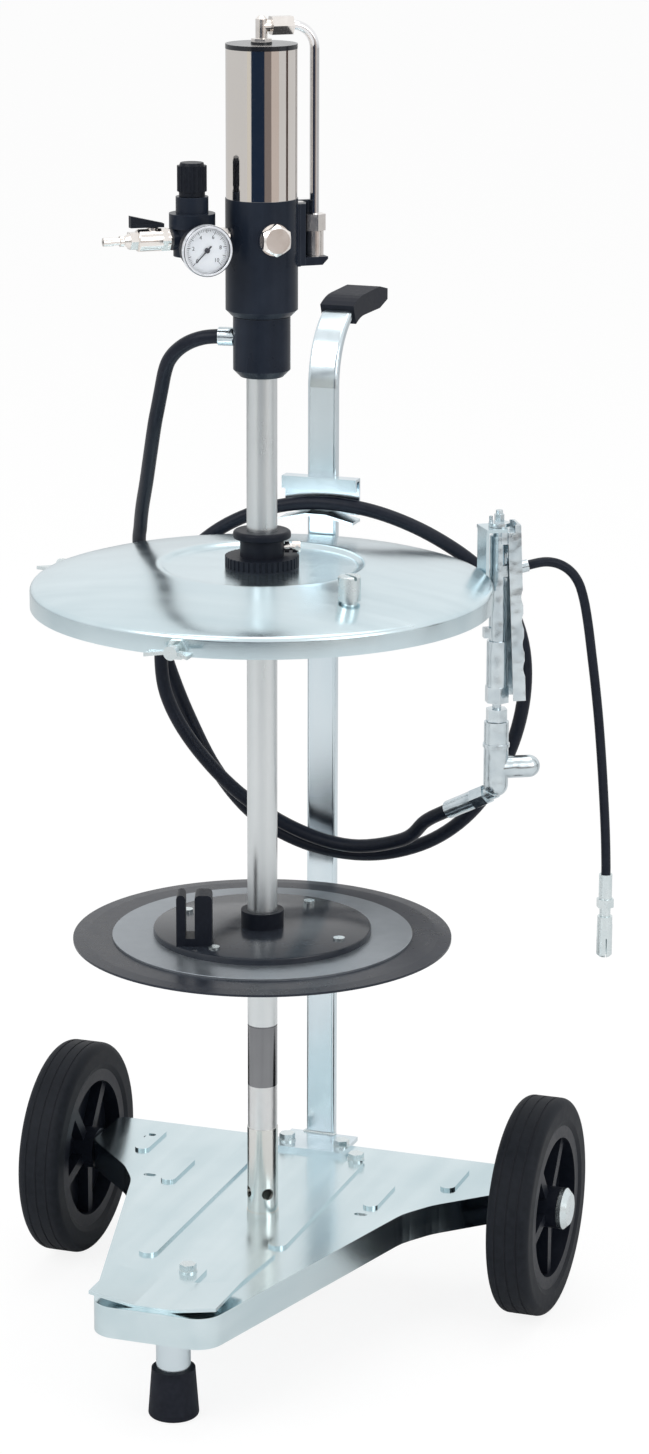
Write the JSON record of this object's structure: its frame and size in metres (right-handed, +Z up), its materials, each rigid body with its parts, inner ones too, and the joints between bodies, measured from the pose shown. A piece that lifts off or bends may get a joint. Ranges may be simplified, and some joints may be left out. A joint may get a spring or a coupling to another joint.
{
  "type": "pneumatic grease pump",
  "caption": "Air driven drum grease pump on a two wheeled trolley with drum lid, follower plate, looped hose and lever gun.",
  "frame": {"origin": "on the floor, under the middle of the trolley's length and width", "axes": "+Z up, +X along the wheels' axle with the gun on the +X side, +Y towards the post and handle"},
  "size_m": [0.5437, 0.585, 1.1828],
  "materials": {
    "zinc_sheet": "bright zinc plated sheet and tube",
    "bright_steel": "polished chrome plated steel",
    "nickel_plate": "polished nickel plate",
    "dark_steel": "dark burnished steel",
    "grey_sleeve": "matte grey steel",
    "black_metal": "satin black anodised",
    "black_steel": "black painted steel",
    "black_plastic": "moulded black plastic",
    "tyre_rubber": "moulded black rubber tyre",
    "black_rubber": "moulded black rubber",
    "hose_rubber": "smooth black hose cover",
    "gun_steel": "satin zinc plated steel",
    "dial_white": "white gauge dial",
    "needle_black": "black painted needle",
    "gauge_window": "clear gauge window"
  },
  "bodies": {
    "trolley": {"deck": "zinc_sheet", "nose_saddle": "zinc_sheet", "trolley_fasteners": "bright_steel", "front_leg": "zinc_sheet", "foot_tip": "black_rubber", "axle": "bright_steel", "wheel_bushes": "grey_sleeve", "post": "zinc_sheet", "handle_grip": "black_plastic", "hose_hanger": "zinc_sheet", "suction_tube": "bright_steel", "lower_cylinder": "dark_steel", "valve_sleeve": "grey_sleeve", "foot_valve": "bright_steel", "outlet_body": "black_metal", "motor_body": "black_metal", "motor_cylinder": "nickel_plate", "cylinder_cap": "dark_steel", "rod_seals": "black_rubber", "body_plugs": "bright_steel", "valve_block": "black_metal", "transfer_tube": "black_steel", "tube_fittings": "black_steel", "air_nipple": "nickel_plate", "ball_valve_body": "nickel_plate", "regulator_body": "black_metal", "gauge_case": "black_steel", "gauge_dial": "dial_white", "gauge_glass": "gauge_window", "drum_lid": "zinc_sheet", "bung_adapter": "black_metal", "lid_fasteners": "bright_steel", "bung_plug": "zinc_sheet", "gun_holder": "black_steel", "supply_hose": "hose_rubber", "hose_fittings": "zinc_sheet", "swivel_body": "zinc_sheet"},
    "left_wheel": {"left_tyre": "tyre_rubber", "left_rim": "black_plastic"},
    "right_wheel": {"right_tyre": "tyre_rubber", "right_rim": "black_plastic"},
    "follower": {"follower_rubber": "black_rubber", "follower_disc": "black_steel", "follower_hub": "black_metal", "follower_screws": "bright_steel"},
    "pump_rods": {"air_piston": "grey_sleeve", "pump_rod": "bright_steel", "priming_plunger": "grey_sleeve"},
    "check_valve": {"check_valve": "bright_steel"},
    "spool": {"spool": "bright_steel"},
    "valve_lever": {"valve_lever": "black_steel"},
    "regulator_knob": {"regulator_knob": "black_plastic"},
    "gauge_needle": {"gauge_needle": "needle_black"},
    "adapter_screw": {"adapter_screw": "nickel_plate"},
    "gun": {"gun_body": "gun_steel", "trigger_pin": "bright_steel", "whip_hose": "hose_rubber", "whip_coupler": "nickel_plate"},
    "trigger": {"trigger": "gun_steel"},
    "valve_stem": {"valve_stem": "bright_steel"}
  },
  "joints": [
    {"name": "left_wheel_spin", "type": "hinge", "parent": "trolley", "child": "left_wheel", "pos_m": [-0.2275, 0.093, 0.1], "axis": [1, 0, 0], "continuous": true},
    {"name": "right_wheel_spin", "type": "hinge", "parent": "trolley", "child": "right_wheel", "pos_m": [0.2275, 0.093, 0.1], "axis": [1, 0, 0], "continuous": true},
    {"name": "follower_slide", "type": "slide", "parent": "trolley", "child": "follower", "axis": [0, 0, 1], "range_m": [-0.17, 0.26]},
    {"name": "pump_stroke", "type": "slide", "parent": "trolley", "child": "pump_rods", "axis": [0, 0, 1], "range_m": [0, 0.075]},
    {"name": "check_valve_lift", "type": "slide", "parent": "trolley", "child": "check_valve", "axis": [0, 0, 1], "range_m": [0, 0.003]},
    {"name": "spool_shift", "type": "slide", "parent": "trolley", "child": "spool", "axis": [0, 0, 1], "range_m": [0, 0.005]},
    {"name": "valve_lever_turn", "type": "hinge", "parent": "trolley", "child": "valve_lever", "pos_m": [-0.06181, -0.11135, 1], "axis": [0, 0, 1], "range_deg": [0, 90]},
    {"name": "regulator_knob_turn", "type": "hinge", "parent": "trolley", "child": "regulator_knob", "pos_m": [-0.03499, -0.08885, 1.045], "axis": [0, 0, 1], "range_deg": [-360, 360]},
    {"name": "gauge_needle_turn", "type": "hinge", "parent": "trolley", "child": "gauge_needle", "pos_m": [-0.03499, -0.08885, 0.9945], "axis": [-0.6428, 0.766, 0], "range_deg": [0, 270], "stiffness_Nm_per_rad": 0.00002},
    {"name": "adapter_screw_turn", "type": "hinge", "parent": "trolley", "child": "adapter_screw", "pos_m": [0.03991, -0.0368, 0.7295], "axis": [0.9135, 0.4067, 0], "range_deg": [-360, 360]},
    {"name": "gun_turn", "type": "hinge", "parent": "trolley", "child": "gun", "pos_m": [0.1869, 0.07911, 0.735], "axis": [0, 0, 1], "range_deg": [-20, 20]},
    {"name": "trigger_squeeze", "type": "hinge", "parent": "gun", "child": "trigger", "pos_m": [0.19643, 0.08461, 0.727], "axis": [-0.5, 0.866, 0], "range_deg": [0, 3.15], "stiffness_Nm_per_rad": 5, "springref_deg": -2.86},
    {"name": "valve_stem_slide", "type": "slide", "parent": "gun", "child": "valve_stem", "axis": [-0.866, -0.5, 0], "range_m": [0, 0.0007]}
  ],
  "couplings": [
    {"joint": "valve_stem_slide", "follows": "trigger_squeeze", "m_per_rad": 0.012}
  ]
}
